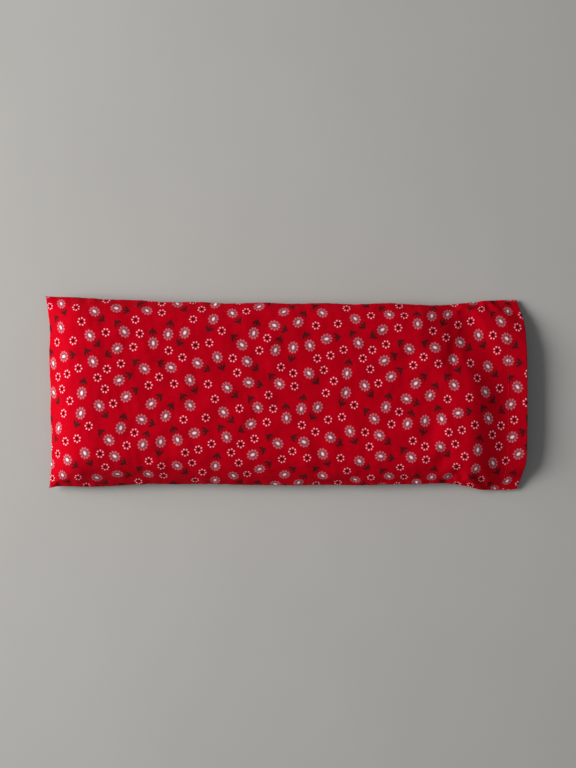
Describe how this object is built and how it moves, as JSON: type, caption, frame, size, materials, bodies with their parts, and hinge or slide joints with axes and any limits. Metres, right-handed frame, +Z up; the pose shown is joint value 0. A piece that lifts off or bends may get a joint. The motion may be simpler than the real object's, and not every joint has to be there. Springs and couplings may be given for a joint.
{
  "type": "eye pillow",
  "caption": "Flat rectangular eye pillow: a seed-filled calico insert that slides out of the open end of a flower-print red cotton cover.",
  "frame": {"origin": "on the table, under the middle of the cover", "axes": "+X along the pillow towards the cover's open end, +Y across it, +Z up from the table"},
  "size_m": [0.2398, 0.0962, 0.02],
  "materials": {
    "printed_cotton": "plain-weave cotton, red ground with a small printed flower pattern, matt",
    "red_thread": "spun polyester sewing thread, slight sheen",
    "calico": "unbleached plain-weave cotton with darker flecks, matt",
    "pale_thread": "spun polyester sewing thread, slight sheen",
    "flax_seed": "loose brown seed with a glossy husk"
  },
  "bodies": {
    "cover": {"cover_front": "printed_cotton", "cover_back": "printed_cotton", "cover_seam_thread": "red_thread", "hem_thread_front": "red_thread", "hem_thread_back": "red_thread"},
    "insert": {"liner_front": "calico", "liner_back": "calico", "liner_seam_thread": "pale_thread", "liner_closing_thread": "pale_thread", "seed_fill": "flax_seed"}
  },
  "joints": [
    {"name": "insert_slide", "type": "slide", "parent": "cover", "child": "insert", "axis": [1, 0, 0], "range_m": [0, 0.24]}
  ]
}
